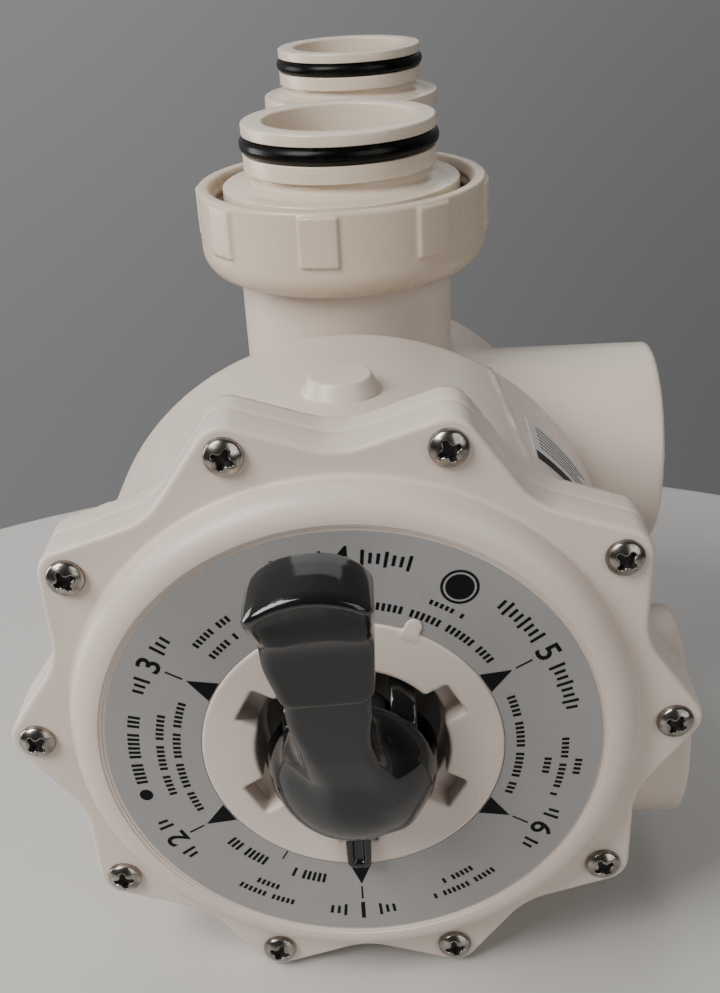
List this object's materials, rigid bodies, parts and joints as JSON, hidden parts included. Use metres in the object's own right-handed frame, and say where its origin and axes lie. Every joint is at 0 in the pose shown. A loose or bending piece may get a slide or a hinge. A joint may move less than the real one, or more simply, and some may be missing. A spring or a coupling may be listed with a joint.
{
  "type": "side mount multiport valve",
  "caption": "Side mount multiport pool filter valve: press the lever to lift the diverter, turn it to a position, and join it to the tank with two union nuts.",
  "frame": {"origin": "centre of the mouth of the front tank nipple", "axes": "+Z out of the tank nipples towards the tank, +X out of the line ports, -Y out of the cover along the valve axis to the handle"},
  "size_m": [0.2207, 0.4599, 0.2561],
  "materials": {
    "body_plastic": "moulded, satin",
    "cover_plastic": "moulded, satin",
    "nut_plastic": "moulded, satin",
    "adapter_plastic": "moulded, satin",
    "seal_rubber": "moulded",
    "stainless_steel": "plain",
    "label_silver": "satin foil with black print",
    "label_paper": "satin film",
    "diverter_plastic": "moulded",
    "washer_plastic": "moulded",
    "handle_plastic": "moulded, glossy"
  },
  "bodies": {
    "housing": {"valve_body": "body_plastic", "cover": "cover_plastic", "cover_o_ring": "seal_rubber", "cover_screws": "stainless_steel", "label_ring": "label_silver", "data_label": "label_paper", "tank_adapter_front": "adapter_plastic", "tank_adapter_rear": "adapter_plastic", "adapter_o_ring_front": "seal_rubber", "adapter_o_ring_rear": "seal_rubber", "spider_gasket": "seal_rubber", "thrust_washer": "washer_plastic"},
    "turning": {"spring_washer": "washer_plastic", "spring": "stainless_steel"},
    "rotor": {"diverter": "diverter_plastic", "stem_o_rings": "seal_rubber", "handle_pin": "stainless_steel"},
    "lever": {"handle": "handle_plastic"},
    "front_nut": {"union_nut_front": "nut_plastic"},
    "rear_nut": {"union_nut_rear": "nut_plastic"}
  },
  "joints": [
    {"name": "diverter_turn", "type": "hinge", "parent": "housing", "child": "turning", "pos_m": [0, -0.1468, -0.154], "axis": [0, -1, 0], "continuous": true},
    {"name": "diverter_lift", "type": "slide", "parent": "turning", "child": "rotor", "axis": [0, -1, 0], "range_m": [0, 0.0045], "deforming": ["spring"]},
    {"name": "handle_press", "type": "hinge", "parent": "rotor", "child": "lever", "pos_m": [0, -0.1588, -0.154], "axis": [-1, 0, 0], "range_deg": [0, 22]},
    {"name": "front_nut_spin", "type": "hinge", "parent": "housing", "child": "front_nut", "pos_m": [0, 0, -0.039], "axis": [0, 0, 1], "continuous": true},
    {"name": "rear_nut_spin", "type": "hinge", "parent": "housing", "child": "rear_nut", "pos_m": [0, 0.1905, -0.074], "axis": [0, 0, 1], "continuous": true}
  ],
  "couplings": [
    {"joint": "diverter_lift", "follows": "handle_press", "m_per_rad": 0.01172}
  ]
}
